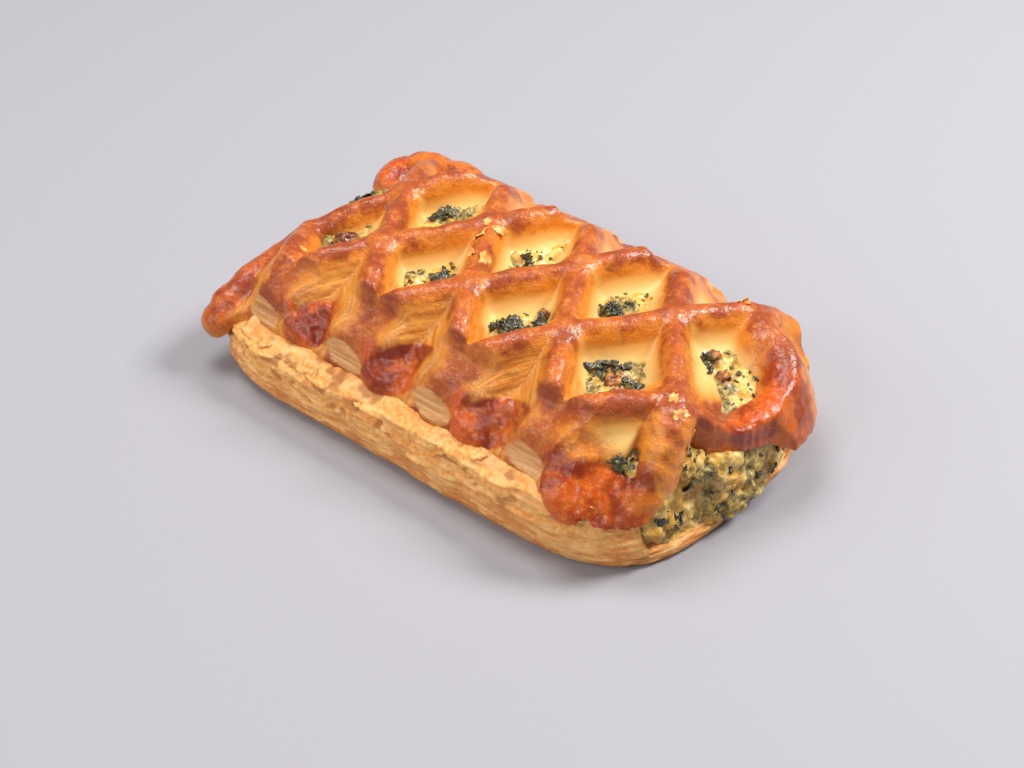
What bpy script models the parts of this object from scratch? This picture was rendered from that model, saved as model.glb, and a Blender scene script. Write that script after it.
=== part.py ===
"""Lattice-topped puff pastry with a spinach and cheese filling.

A bottom sheet with risen, layered side walls carries the filling, which runs through from end to end.
A sheet slit and pulled open into a lattice lies over both and is sealed along the long sides.
The long axis is X, the camera side in the usual view is -Y, and the pastry rests on Z = 0.
"""

import math

import bmesh
import bpy
import numpy as np

MM = 0.001

# Overall form
HALF_NEAR = 38.0 * MM
HALF_FAR = 39.5 * MM
REACH_LEFT = 63.0 * MM
REACH_RIGHT = 67.5 * MM
CROWN_TOP = 34.5 * MM
CROWN_RIM = 17.0 * MM
SEAT_TOP = 27.3 * MM
SEAT_RIM = 14.0 * MM
ACROSS_POWER = 4.4
ALONG_POWER = 4.3
GAP = 0.3 * MM
# Puts the middle of the whole footprint on the origin
FRAME_SHIFT = (0.06 * MM, -0.44 * MM, 0.0)
SEAT_CELLS = (40, 26)
CORNER_DIP = 5.5 * MM
CORNER_FROM = (49.0 * MM, 24.0 * MM)
CORNER_RUN = 11.0 * MM

# Lattice: rows of crossings from the near side to the far side
PITCH = 25.4 * MM
ROW_Y = (-28.0 * MM, -10.0 * MM, 10.0 * MM, 33.0 * MM)
ROW_X = (-17.5 * MM, -28.5 * MM, -40.0 * MM, -27.5 * MM)
FAR_LIFT = 1.2 * MM
RIDGE_RADIUS = 3.5 * MM
RIDGE_FLARE = 5.0 * MM
RIDGE_DEPTH = 9.5 * MM
STRIP_STEP = 2.5 * MM
FOOT_RUN = (-5.0 * MM, -6.5 * MM)
VOXEL = 1.15 * MM
LATTICE_KEEP = 0.105

# Side band and its hanging lobes
BAND_Y = {-1: 31.0 * MM, 1: 33.0 * MM}
BAND_WAVE = 1.6 * MM
BAND_SCALE = 0.85
BAND_LIFT = -0.5 * MM
LOBE_SHIFT = 10.0 * MM
LOBE_OUT = 0.5 * MM
LOBE_SIZE = (7.5 * MM, 4.4 * MM, 4.0 * MM)
LOBE_Z = 18.5 * MM
LOBE_TILT = math.radians(28.0)

# Bottom sheet
BASE_X = (-62.0 * MM, 57.5 * MM)
BASE_HALF = 37.6 * MM
BASE_BOW = 4.2 * MM
BASE_SKEW = 1.5 * MM
BASE_BULGE = 1.2 * MM
BASE_SQUARE = 6.0
BASE_ROUND = 5.5
BASE_SIDES = 112
LAYER_RISE = 1.7 * MM
LAYER_COUNT = 14
LAYER_RELIEF = 0.4 * MM
LAYER_SWELL = 0.6 * MM
LAYER_SEED = 5
CRAG_RELIEF = 0.5 * MM
FOOT_TUCK = 0.6 * MM

# Filling
FLOOR = 5.2 * MM
FILL_X = (-59.0 * MM, 60.5 * MM)
FILL_LEAN = 2.0 * MM
FILL_BOW = 3.0 * MM
FILL_BOTTOM_HALF = 25.0 * MM
FILL_TOP_HALF = 29.0 * MM
FILL_SHOULDER = 14.0 * MM
LUMP_RISE = 1.7 * MM
LUMP_REACH = 5.0 * MM
LUMP_SEED = 11


def shoulder(x, y):
    """1 over the middle of the pastry, falling to 0 at its rim."""
    half = np.where(np.asarray(y) < 0.0, HALF_NEAR, HALF_FAR)
    across = np.minimum(np.abs(y) / half, 1.0)
    reach = np.where(np.asarray(x) < 0.0, REACH_LEFT, REACH_RIGHT)
    along = np.minimum(np.abs(x) / reach, 1.0)
    return (1.0 - across**ACROSS_POWER) * (1.0 - along**ALONG_POWER)


def crown(x, y):
    """Height of the strips' ridges over a point in plan."""
    return CROWN_RIM + (CROWN_TOP - CROWN_RIM) * shoulder(x, y)


def corner_dip(x, y):
    """How far the seat falls away at the four corners, where the lattice is drawn down."""
    along = np.clip((np.abs(x) - CORNER_FROM[0]) / CORNER_RUN, 0.0, 1.0)
    across = np.clip((np.abs(y) - CORNER_FROM[1]) / CORNER_RUN, 0.0, 1.0)
    return CORNER_DIP * (along * across) ** 0.7


def seat(x, y):
    """Height of the surface on which the lattice lies."""
    return SEAT_RIM + (SEAT_TOP - SEAT_RIM) * shoulder(x, y) - corner_dip(x, y)


def crossing(row, k):
    """Plan position of crossing k in one of the four rows, and its lift off the crown."""
    return (ROW_X[row] + PITCH * k, ROW_Y[row], FAR_LIFT if row == 3 else 0.0)


def smooth_path(points, step):
    """A Catmull-Rom path through the given plan points, sampled every step or so."""
    p = np.array(points, float)
    p = np.vstack([2 * p[0] - p[1], p, 2 * p[-1] - p[-2]])
    found = []
    for a, b, c, d in zip(p[:-3], p[1:-2], p[2:-1], p[3:]):
        count = max(2, int(round(np.linalg.norm(c - b) / step)))
        for t in np.arange(count) / count:
            found.append(
                0.5 * (2 * b + (c - a) * t + (2 * a - 5 * b + 4 * c - d) * t**2
                       + (3 * b - a - 3 * c + d) * t**3)
            )
    found.append(p[-2])
    return np.array(found)


def lattice_lines():
    """Plan stops of the strips and their lift off the crown, with each strip's scale."""
    left_tip = (-56.5 * MM, -34.0 * MM, -4.5 * MM)
    left_turn = (-53.5 * MM, -9.0 * MM, -0.5 * MM)
    lines = []
    # Leaning one way, from the near wall up to the far side
    for k in range(-1, 3):
        near = crossing(0, k)
        foot = (near[0] + FOOT_RUN[0], near[1] + FOOT_RUN[1], 0.0)
        stops = [foot, near, crossing(1, k + 1)]
        if k < 2:
            far = crossing(3, k + 2)
            stops += [crossing(2, k + 2), far, (far[0] + 3.0 * MM, far[1] + 3.5 * MM, 0.0)]
        lines.append((stops, 1.0))
    # The leftmost line curves round the left end and down to the corner tip
    slope = (-57.0 * MM, -23.0 * MM, -3.0 * MM)
    lines.append(([left_tip, slope, left_turn, crossing(2, 0), crossing(3, 0)], 0.95))
    # Leaning the other way
    lines.append(([left_turn, crossing(0, -1)], 1.25))
    for k in range(0, 4):
        top = crossing(3, k - 1)
        stops = [(top[0] - 3.0 * MM, top[1] + 3.5 * MM, 0.0), top, crossing(2, k), crossing(1, k)]
        stops.append(crossing(0, k))
        if k == 3:
            stops[-1] = (55.0 * MM, -22.0 * MM, -0.5 * MM)
            stops.append((54.0 * MM, -30.0 * MM, -3.0 * MM))
        lines.append((stops, 1.0))
    # The broad loop round the right end
    bend = [(54.0, 26.5), (58.5, 17.0), (59.3, 6.0), (55.5, -3.0)]
    loop = [(x * MM, y * MM, 0.0) for x, y in bend]
    lines.append(([crossing(3, 3), *loop, crossing(1, 3)], 1.35))
    return lines


def band_line(side):
    """The wavy edge band of one long side, low at the lobes and drawn in at the crossings."""
    row = 0 if side < 0 else 3
    x = np.linspace(-52.0 * MM, 52.0 * MM, 45)
    phase = (x - crossing(row, 0)[0]) / PITCH * 2.0 * math.pi
    y = side * (BAND_Y[side] - BAND_WAVE * np.cos(phase))
    return np.column_stack([x, y, np.full(len(x), BAND_LIFT)])


def material(name, colour, roughness):
    made = bpy.data.materials.new(name)
    made.use_nodes = True
    shader = made.node_tree.nodes["Principled BSDF"]
    shader.inputs["Base Color"].default_value = (*colour, 1.0)
    shader.inputs["Roughness"].default_value = roughness
    shader.inputs["Metallic"].default_value = 0.0
    return made


def add_object(name, mesh, collection):
    made = bpy.data.objects.new(name, mesh)
    collection.objects.link(made)
    return made


def mesh_from_bmesh(name, bm):
    bmesh.ops.recalc_face_normals(bm, faces=bm.faces)
    mesh = bpy.data.meshes.new(name)
    bm.to_mesh(mesh)
    bm.free()
    return mesh


def ridge_profile(collection):
    """Closed section of a strip: a round top and sides that flare to the seat."""
    turn = np.linspace(0.0, math.pi, 9)
    points = [(RIDGE_RADIUS * math.cos(a), RIDGE_RADIUS * (math.sin(a) - 1.0)) for a in turn]
    points += [(-RIDGE_FLARE, -0.75 * RIDGE_DEPTH), (-RIDGE_FLARE, -RIDGE_DEPTH)]
    points += [(RIDGE_FLARE, -RIDGE_DEPTH), (RIDGE_FLARE, -0.75 * RIDGE_DEPTH)]
    curve = bpy.data.curves.new("ridge_profile", "CURVE")
    curve.dimensions = "2D"
    spline = curve.splines.new("POLY")
    spline.points.add(len(points) - 1)
    for point, (x, y) in zip(spline.points, points):
        point.co = (x, y, 0.0, 1.0)
    spline.use_cyclic_u = True
    made = add_object("ridge_profile", curve, collection)
    return made


def strip_mesh(path, scale, profile):
    """One strip swept along its plan path, with its ridge on the crown."""
    curve = bpy.data.curves.new("strip", "CURVE")
    curve.dimensions = "3D"
    curve.twist_mode = "Z_UP"
    curve.bevel_mode = "OBJECT"
    curve.bevel_object = profile
    curve.use_fill_caps = True
    spline = curve.splines.new("POLY")
    spline.points.add(len(path) - 1)
    for point, (x, y, lift) in zip(spline.points, path):
        point.co = (x, y, crown(x, y) + lift, 1.0)
        point.radius = scale
    holder = bpy.data.objects.new("strip", curve)
    bpy.context.scene.collection.objects.link(holder)
    graph = bpy.context.evaluated_depsgraph_get()
    mesh = bpy.data.meshes.new_from_object(holder.evaluated_get(graph))
    bpy.data.objects.remove(holder)
    return mesh


def add_ball(bm, centre, size, turn=0.0):
    """An ellipsoid from a sphere primitive, turned about Z."""
    made = bmesh.ops.create_uvsphere(bm, u_segments=20, v_segments=12, radius=1.0)
    cos, sin = math.cos(turn), math.sin(turn)
    for vertex in made["verts"]:
        x, y, z = (vertex.co[i] * size[i] for i in range(3))
        vertex.co = (
            centre[0] + x * cos - y * sin,
            centre[1] + x * sin + y * cos,
            centre[2] + z,
        )


def seat_block(name, drop, up, collection):
    """A block bounded by the seat, lowered by drop: above it if up, or else below it."""
    bm = bmesh.new()
    bmesh.ops.create_grid(bm, x_segments=SEAT_CELLS[0], y_segments=SEAT_CELLS[1], size=1.0)
    for vertex in bm.verts:
        x, y = vertex.co.x * 75.0 * MM, vertex.co.y * 46.0 * MM
        vertex.co = (x, y, float(seat(x, y)) - drop)
    far = 60.0 * MM if up else -20.0 * MM
    grown = bmesh.ops.extrude_face_region(bm, geom=bm.faces[:])
    for item in grown["geom"]:
        if isinstance(item, bmesh.types.BMVert):
            item.co.z = far
    made = add_object(name, mesh_from_bmesh(name, bm), collection)
    made.hide_render = True
    made.display_type = "WIRE"
    return made


def outline(turn, grow):
    """Plan outline of the bottom sheet: a squared oval, bowed at +X, fuller near the -X end."""
    c, s = math.cos(turn), math.sin(turn)
    power = 2.0 / (BASE_ROUND if c > 0.0 > s else BASE_SQUARE)
    half = 0.5 * (BASE_X[1] - BASE_X[0]) + grow
    mid = 0.5 * (BASE_X[1] + BASE_X[0])
    u = math.copysign(abs(c) ** power, c)
    v = math.copysign(abs(s) ** power, s)
    x = mid + half * u
    y = (BASE_HALF + grow) * v
    if u > 0.0:
        x += (BASE_BOW * (1.0 - v * v) + BASE_SKEW * v) * u**4
    if v < 0.0:
        y -= BASE_BULGE * math.exp(-(((u + 0.65) / 0.35) ** 2)) * v**4
    return x, y


def layered_block(collection, shade):
    """The risen sheet as stacked rings, each layer standing a little in or out."""
    bm = bmesh.new()
    rings = []
    draw = np.random.default_rng(LAYER_SEED)
    for level in range(LAYER_COUNT + 1):
        z = LAYER_RISE * level
        swell = LAYER_SWELL * math.sin(math.pi * min(z / CROWN_RIM, 1.0)) - (level == 0) * FOOT_TUCK
        step = LAYER_RELIEF * (1 if level % 2 else -1) * (level > 0)
        crags = draw.uniform(-1.0, 1.0, BASE_SIDES)
        crags = (np.roll(crags, 1) + 2.0 * crags + np.roll(crags, -1)) / 4.0
        ring = []
        for i in range(BASE_SIDES):
            turn = 2.0 * math.pi * (i + 0.5) / BASE_SIDES
            wave = 0.6 + 0.4 * math.sin(5.0 * turn + 1.3 * level)
            x, y = outline(turn, swell + step * wave + CRAG_RELIEF * crags[i] * (level > 0))
            ring.append(bm.verts.new((x, y, z)))
        rings.append(ring)
    for lower, upper in zip(rings[:-1], rings[1:]):
        for i in range(BASE_SIDES):
            j = (i + 1) % BASE_SIDES
            bm.faces.new((lower[i], lower[j], upper[j], upper[i]))
    bm.faces.new(rings[0][::-1])
    bm.faces.new(rings[-1])
    made = add_object("base_sheet", mesh_from_bmesh("base_sheet", bm), collection)
    made.data.materials.append(shade)
    return made


def strip_distance(x, y, paths):
    """Distance in plan from a point to the nearest strip's centre line."""
    return min(float(np.min(np.hypot(path[:, 0] - x, path[:, 1] - y))) for path in paths)


def lump_field(x, y, bumps):
    """Relief of the filling: overlapping soft lumps."""
    rise = 0.0
    for bx, by, reach, height in bumps:
        rise += height * math.exp(-((x - bx) ** 2 + (y - by) ** 2) / reach**2)
    return rise


def trough(name, grow, run_through, collection, paths=None, bumps=None):
    """The space that the filling takes up, from a subdivided cube, grown by grow all round."""
    bm = bmesh.new()
    bmesh.ops.create_grid(bm, x_segments=54, y_segments=22, size=1.0)
    top = bm.verts[:]
    grown = bmesh.ops.extrude_face_region(bm, geom=bm.faces[:])
    bottom = [item for item in grown["geom"] if isinstance(item, bmesh.types.BMVert)]
    for vertex in bottom:
        vertex.co.z = -1.0
    walls = {edge for vertex in bottom for edge in vertex.link_edges if edge.other_vert(vertex) in set(top)}
    bmesh.ops.subdivide_edges(bm, edges=list(walls), cuts=4)
    left, right = FILL_X
    for vertex in bm.verts:
        u, v, w = vertex.co
        w = 1.0 + w
        narrow = abs(u) ** 6
        centre_y = -4.5 * MM * narrow * (u > 0)
        low = FILL_BOTTOM_HALF - 5.0 * MM * narrow + 2.0 * grow
        high = FILL_TOP_HALF - 8.0 * MM * narrow + 2.0 * grow
        x = left + (right - left) * 0.5 * (u + 1.0)
        if run_through:
            x *= 1.35
        ceiling = 45.0 * MM if run_through else None
        y_top = centre_y + v * high
        top_z = ceiling or float(seat(x, y_top)) - GAP
        if not run_through and paths:
            clear = strip_distance(x, y_top, paths) - RIDGE_FLARE - 1.6 * MM
            room = min(max(clear / LUMP_REACH, 0.0), 1.0)
            top_z += room * lump_field(x, y_top, bumps)
        floor_z = FLOOR - grow
        z = floor_z + (top_z - floor_z) * w
        shift = min(max((z - floor_z) / (FILL_SHOULDER - floor_z), 0.0), 1.0)
        y = centre_y + v * (low + (high - low) * shift)
        if not run_through:
            lean = FILL_LEAN * w * (1 if u > 0 else -1)
            x -= lean * narrow + FILL_BOW * narrow * v * v * (1 if u > 0 else -1)
            if abs(u) > 0.999:
                x += 0.9 * MM * math.sin(v * 9.0 + w * 5.0) * math.sin(w * math.pi)
        vertex.co = (x, y, z)
    bmesh.ops.dissolve_limit(bm, angle_limit=0.002, verts=bm.verts[:], edges=bm.edges[:])
    bmesh.ops.triangulate(bm, faces=bm.faces[:])
    return add_object(name, mesh_from_bmesh(name, bm), collection)


def lattice_object(paths, profile, seat_below, collection, shade):
    """All strips, bands and lobes made one skin, then cut off flat on the seat."""
    bm = bmesh.new()
    meshes = [strip_mesh(path, scale, profile) for path, scale in paths]
    meshes += [strip_mesh(band_line(side), BAND_SCALE, profile) for side in (-1, 1)]
    for mesh in meshes:
        bm.from_mesh(mesh)
        bpy.data.meshes.remove(mesh)
    for side, row in ((-1, 0), (1, 3)):
        for k in range(-1, 3):
            x = crossing(row, k)[0] + LOBE_SHIFT
            centre = (x, side * (BAND_Y[side] + LOBE_OUT), LOBE_Z)
            add_ball(bm, centre, LOBE_SIZE, -side * LOBE_TILT)
    corners = (
        ((-57.5, -34.5, 10.8), (5.2, 4.6, 4.4), 0.6),
        ((-56.0, 32.5, 17.0), (10.5, 8.0, 6.5), 0.2),
        ((60.5, 20.0, 13.0), (5.0, 9.0, 5.0), 0.2),
        ((52.0, -30.0, 13.5), (8.0, 5.5, 5.5), 0.2),
        ((44.5, -29.5, 18.5), (8.5, 4.8, 4.6), 0.3),
    )
    for centre, size, turn in corners:
        add_ball(bm, [c * MM for c in centre], [s * MM for s in size], turn)
    made = add_object("lattice_top", mesh_from_bmesh("lattice_top", bm), collection)
    made.data.materials.append(shade)
    skin = made.modifiers.new("one_skin", "REMESH")
    skin.mode = "VOXEL"
    skin.voxel_size = VOXEL
    soften = made.modifiers.new("soften", "SMOOTH")
    soften.factor = 0.5
    soften.iterations = 3
    thin = made.modifiers.new("thin_out", "DECIMATE")
    thin.ratio = LATTICE_KEEP
    cut = made.modifiers.new("cut_on_seat", "BOOLEAN")
    cut.operation = "DIFFERENCE"
    cut.solver = "EXACT"
    cut.object = seat_below
    return made


def main():
    for old in list(bpy.data.objects):
        bpy.data.objects.remove(old)
    pastry = bpy.data.collections.new("lattice_pastry")
    cutters = bpy.data.collections.new("cutters")
    for collection in (pastry, cutters):
        bpy.context.scene.collection.children.link(collection)
    browned = material("browned_lattice", (0.50, 0.17, 0.035), 0.32)
    layered = material("layered_side", (0.66, 0.36, 0.12), 0.6)
    creamy = material("spinach_and_cheese", (0.60, 0.47, 0.16), 0.45)

    profile = ridge_profile(cutters)
    profile.hide_render = True
    paths = [(smooth_path(stops, STRIP_STEP), scale) for stops, scale in lattice_lines()]
    seat_below = seat_block("seat_below", 0.0, False, cutters)
    seat_above = seat_block("seat_above", GAP, True, cutters)
    lattice_object(paths, profile, seat_below, pastry, browned)

    hollow = trough("hollow", GAP, True, cutters)
    hollow.hide_render = True
    hollow.display_type = "WIRE"
    base = layered_block(pastry, layered)
    for cutter in (seat_above, hollow):
        cut = base.modifiers.new(cutter.name, "BOOLEAN")
        cut.operation = "DIFFERENCE"
        cut.solver = "MANIFOLD"
        cut.object = cutter

    draw = np.random.default_rng(LUMP_SEED)
    bumps = []
    for _ in range(150):
        bumps.append(
            (draw.uniform(*FILL_X), draw.uniform(-FILL_TOP_HALF, FILL_TOP_HALF),
             draw.uniform(2.0, 4.0) * MM, draw.uniform(-0.4, 1.0) * LUMP_RISE)
        )
    centres = [path for path, scale in paths]
    filling = trough("filling", 0.0, False, pastry, centres, bumps)
    filling.data.materials.append(creamy)

    frame = bpy.data.objects.new("pastry_frame", None)
    pastry.objects.link(frame)
    frame.location = FRAME_SHIFT
    for piece in [*pastry.objects, *cutters.objects]:
        if piece is not frame:
            piece.parent = frame


main()
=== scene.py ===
# %% [markdown]
# # A lattice-top pastry with spinach and cheese
#
# This lesson builds a baked puff pastry: a layered bottom sheet, a lumpy green and yellow filling, and
# a glossy lattice pulled open over it. The big forms come from curves, spheres and rings. A voxel remesh
# makes one skin of them, and NumPy then pushes its points about for blisters, layers and crumbs.

import itertools
import math

import bmesh
import bpy
import numpy as np
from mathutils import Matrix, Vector


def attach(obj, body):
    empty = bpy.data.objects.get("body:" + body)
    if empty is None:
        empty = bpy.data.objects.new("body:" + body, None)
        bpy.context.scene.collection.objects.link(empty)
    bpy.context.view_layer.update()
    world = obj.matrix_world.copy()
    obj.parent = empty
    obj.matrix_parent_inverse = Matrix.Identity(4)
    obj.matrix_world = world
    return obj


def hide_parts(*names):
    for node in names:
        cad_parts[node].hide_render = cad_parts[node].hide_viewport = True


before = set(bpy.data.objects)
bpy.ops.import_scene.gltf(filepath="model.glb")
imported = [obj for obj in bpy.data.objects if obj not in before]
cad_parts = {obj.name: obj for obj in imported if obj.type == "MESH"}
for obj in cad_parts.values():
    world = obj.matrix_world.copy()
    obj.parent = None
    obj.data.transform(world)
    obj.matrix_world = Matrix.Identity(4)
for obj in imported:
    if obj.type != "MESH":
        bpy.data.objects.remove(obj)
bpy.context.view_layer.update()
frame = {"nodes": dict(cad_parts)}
MM = 0.001
SHIFT = np.array((0.06, -0.44, 0.0)) * MM
rng = np.random.default_rng(20)
print("solids in the frame:", ", ".join(frame["nodes"]))


def add_object(name, data):
    """Puts a new object with this data into the scene."""
    made = bpy.data.objects.new(name, data)
    bpy.context.scene.collection.objects.link(made)
    return made


def preset(node, **values):
    """Sets values on a node's inputs by name, with _ for a space."""
    for name, value in values.items():
        node.inputs[name.replace("_", " ")].default_value = value


# %% [markdown]
# ## The camera
#
# It looks down from 40 degrees, off the near right corner, with a 60 mm lens at about 39 cm. It comes
# first so that each piece can be judged as soon as it is made.

# %% Camera
AZIMUTH, ELEVATION, DISTANCE = math.radians(40.0), math.radians(40.0), 0.390
back = Vector(
    (math.sin(AZIMUTH) * math.cos(ELEVATION), -math.cos(AZIMUTH) * math.cos(ELEVATION), math.sin(ELEVATION))
)
camera = add_object("camera", bpy.data.cameras.new("camera"))
camera.data.lens = 60.0
camera.data.sensor_width = 36.0
camera.location = back * DISTANCE + Vector(SHIFT)
camera.rotation_euler = back.to_track_quat("Z", "Y").to_euler()
bpy.context.scene.camera = camera
print("camera at", [round(v, 3) for v in camera.location])


# %% [markdown]
# ## Random relief that repeats
#
# Crumb and blisters are uneven, yet each run must give the same pastry. Value noise does both: each cell
# of a grid gets a number from its place, and a point blends the eight corners around it.

# %% Noise
def noise(points, size, seed=0):
    """One soft random value from -1 to 1 for each point, with bumps about size across."""
    p = points / np.asarray(size)
    cell = np.floor(p).astype(np.int64)
    f = p - cell
    f = f * f * f * (f * (f * 6.0 - 15.0) + 10.0)
    total = np.zeros(len(points))
    for corner in itertools.product((0, 1), repeat=3):
        c = cell + corner
        h = (c[:, 0] * 73856093) ^ (c[:, 1] * 19349663) ^ (c[:, 2] * 83492791) ^ (seed * 83641 + 17)
        h = ((h ^ (h >> 13)) * 1274126177) & 0x7FFFFFFF
        h = ((h ^ (h >> 15)) * 461845907) & 0x7FFFFFFF
        h = (h ^ (h >> 14)) & 0xFFFF
        total += np.prod(np.where(corner, f, 1.0 - f), axis=1) * (h / 32767.5 - 1.0)
    return total


def fractal(points, size, octaves=4, seed=0, gain=0.5):
    """Noise at several sizes, each half the one before."""
    total, weight, most = np.zeros(len(points)), 1.0, 0.0
    for octave in range(octaves):
        total += weight * noise(points, np.asarray(size) / 2.0**octave, seed + octave)
        most += weight
        weight *= gain
    return total / most


def ramp(values, low, high):
    """0 below low, 1 above high, and a smooth step between; it runs down if low is the higher."""
    t = np.clip((values - low) / (high - low), 0.0, 1.0)
    return t * t * (3.0 - 2.0 * t)


# %% [markdown]
# ## The pastry's main form
#
# Two smooth domes say where everything is: the crown is the height of the lattice's ridges over any point,
# and the seat is the surface that they lie on. The lattice is four rows of crossings at one pitch, each row
# half a step along from the next.

# %% Domes and crossings
HALF_NEAR, HALF_FAR = 38.0 * MM, 39.5 * MM
REACH_LEFT, REACH_RIGHT = 63.0 * MM, 67.5 * MM
CROWN_TOP, CROWN_RIM = 34.5 * MM, 17.0 * MM
SEAT_TOP, SEAT_RIM = 27.3 * MM, 14.0 * MM
ACROSS_POWER, ALONG_POWER = 4.4, 4.3
PITCH = 25.4 * MM
ROW_Y = (-28.0 * MM, -10.0 * MM, 10.0 * MM, 33.0 * MM)
ROW_X = (-17.5 * MM, -28.5 * MM, -40.0 * MM, -27.5 * MM)


def shoulder(x, y):
    """1 in the middle of the pastry and 0 at its edge, with a flat top and rounded sides."""
    half = np.where(y < 0.0, HALF_NEAR, HALF_FAR)
    reach = np.where(x < 0.0, REACH_LEFT, REACH_RIGHT)
    across = np.minimum(np.abs(y) / half, 1.0) ** ACROSS_POWER
    along = np.minimum(np.abs(x) / reach, 1.0) ** ALONG_POWER
    return (1.0 - across) * (1.0 - along)


def crown(x, y):
    """Height of the ridges over a place."""
    return CROWN_RIM + (CROWN_TOP - CROWN_RIM) * shoulder(x, y)


def seat(x, y):
    """Height of what the lattice lies on, which dips at the four corners."""
    along = np.clip((np.abs(x) - 49.0 * MM) / (11.0 * MM), 0.0, 1.0)
    across = np.clip((np.abs(y) - 24.0 * MM) / (11.0 * MM), 0.0, 1.0)
    dip = 5.5 * MM * (along * across) ** 0.7
    return SEAT_RIM + (SEAT_TOP - SEAT_RIM) * shoulder(x, y) - dip


def crossing(row, k):
    """Place of crossing k of a row; the far row is lifted a little."""
    return np.array((ROW_X[row] + PITCH * k, ROW_Y[row], 1.2 * MM if row == 3 else 0.0))


def smooth_path(stops, step=1.0 * MM):
    """A Catmull-Rom path through the stops, with a point every step or so."""
    p = np.array(stops, float)
    p = np.vstack([2 * p[0] - p[1], p, 2 * p[-1] - p[-2]])
    found = []
    for a, b, c, d in zip(p[:-3], p[1:-2], p[2:-1], p[3:]):
        count = max(2, int(round(np.linalg.norm(c - b) / step)))
        t = (np.arange(count) / count)[:, None]
        found.append(
            0.5 * (2 * b + (c - a) * t + (2 * a - 5 * b + 4 * c - d) * t**2 + (3 * b - a - 3 * c + d) * t**3)
        )
    return np.vstack([*found, p[-2:-1]])


def stop(x, y, lift=0.0):
    """A step from a crossing, or a place, in millimetres; lift is the height over the crown."""
    return np.array((x, y, lift)) * MM


def stop_at(x, y, z):
    """A stop whose ridge is at a height of its own instead of on the crown."""
    return np.array((x * MM, y * MM, z * MM - float(crown(x * MM, y * MM))))


print("crown", CROWN_TOP / MM, "mm high, crossings", PITCH / MM, "mm apart")

# %% [markdown]
# ## Where the strips run
#
# A sheet with rows of slits is pulled apart, so its strips run through crossings, in two directions.
# Each is a smooth path here. At both ends strips turn down to the corners, and at the right one bends
# round as a loop.

# %% Strips of the lattice
left_turn = stop(-53.5, -9.0, -0.5)
right_cross = stop_at(52.2, -11.2, 32.4)
lines = []
for k in range(-1, 3):
    near = crossing(0, k)
    stops = [near + stop(-4.4, -5.5, -4.5), near, crossing(1, k + 1) if k < 2 else right_cross]
    if k < 2:
        far = crossing(3, k + 2)
        stops += [crossing(2, k + 2), far, far + stop(3.0, 3.5)]
    lines.append((stops, 1.0))
lines.append(([stop(-57, -35, -5), stop(-58, -23, -3), left_turn], 1.35))
lines.append(([left_turn, crossing(2, 0), crossing(3, 0)], 1.0))
lines.append(([left_turn, crossing(0, -1)], 1.25))
for k in range(4):
    top = crossing(3, k - 1)
    stops = [top + stop(-3.0, 3.5), top, crossing(2, k), crossing(1, k), crossing(0, k)]
    stops.append(crossing(0, k) + stop(4.2, -4.6, -5.4))
    if k == 3:
        stops[-3:] = [right_cross, stop_at(54.6, -16.5, 28.5)]
    lines.append((stops, 1.0))
BEND = (
    (49.5, 24.0, 30.0), (55.9, 21.6, 28.5), (60.0, 18.4, 27.0), (62.3, 13.5, 25.0), (62.9, 8.0, 23.6),
    (62.3, 2.5, 22.9), (60.8, -2.5, 23.6), (58.6, -6.6, 26.6), (56.0, -9.6, 30.0),
)
bend = [stop_at(*place) for place in BEND]
lines.append(([crossing(3, 3), *bend, right_cross], 1.3))
strips = [(smooth_path(stops), scale) for stops, scale in lines]
print("strips:", len(strips), "with", sum(len(path) for path, _ in strips), "path points")


# %% [markdown]
# ## The lattice as a relief map
#
# The lattice has no undercuts worth keeping, so its top is one height over a half-millimetre grid. Each
# strip drops from its ridge by one section: a round top, a steep flank and a long foot, the bowl of each
# opening. Along the near side, where the dough was pulled down, it is a sloped web.

# %% Grid and distances
STEP = 0.5
GX, GY = np.arange(-70.0, 71.0, STEP), np.arange(-43.0, 44.0, STEP)
PX, PY = (grid.ravel() for grid in np.meshgrid(GX, GY, indexing="ij"))
TOP_DROP = (
    (0, 0.8, 1.6, 2.3, 2.9, 3.5, 4.1, 4.9, 6.2, 8.0, 10, 13, 30),
    (0, 0.12, 0.55, 1.3, 2.4, 3.8, 5.0, 6.3, 7.6, 8.8, 10.6, 18, 90),
)
WEB_DROP = (
    (0, 1, 2, 2.8, 3.6, 4.6, 6, 8, 10, 12, 15),
    (0, 0.12, 0.6, 1.5, 3.0, 4.9, 7.2, 10.4, 13.2, 16.0, 23),
)


def cell_corners(grid):
    """The values at the four corners of each cell."""
    return grid[:-1, :-1], grid[1:, :-1], grid[1:, 1:], grid[:-1, 1:]


def on_grid(values, x, y):
    """Reads a grid at any places, in millimetres, blending its four nearest points."""
    values = values.reshape(len(GX), len(GY))
    i, j = np.clip((x - GX[0]) / STEP, 0, len(GX) - 1.001), np.clip((y - GY[0]) / STEP, 0, len(GY) - 1.001)
    a, b = i.astype(int), j.astype(int)
    u, v = i - a, j - b
    near = values[a, b] * (1 - v) + values[a, b + 1] * v
    return near * (1 - u) + (values[a + 1, b] * (1 - v) + values[a + 1, b + 1] * v) * u


def to_line(line, x, y):
    """Distance from each place to the nearest point of a line, that point's index and the side."""
    best, index = np.full(len(x), 1e9), np.zeros(len(x), int)
    for start in range(0, len(line), 32):
        block = line[start : start + 32]
        gap = (x[:, None] - block[:, 0]) ** 2 + (y[:, None] - block[:, 1]) ** 2
        pick = gap.argmin(axis=1)
        gap = gap[np.arange(len(x)), pick]
        closer = gap < best
        best[closer], index[closer] = gap[closer], pick[closer] + start
    way = np.gradient(line, axis=0)[index]
    side = way[:, 0] * (y - line[index, 1]) - way[:, 1] * (x - line[index, 0])
    return np.sqrt(best), index, side


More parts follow.
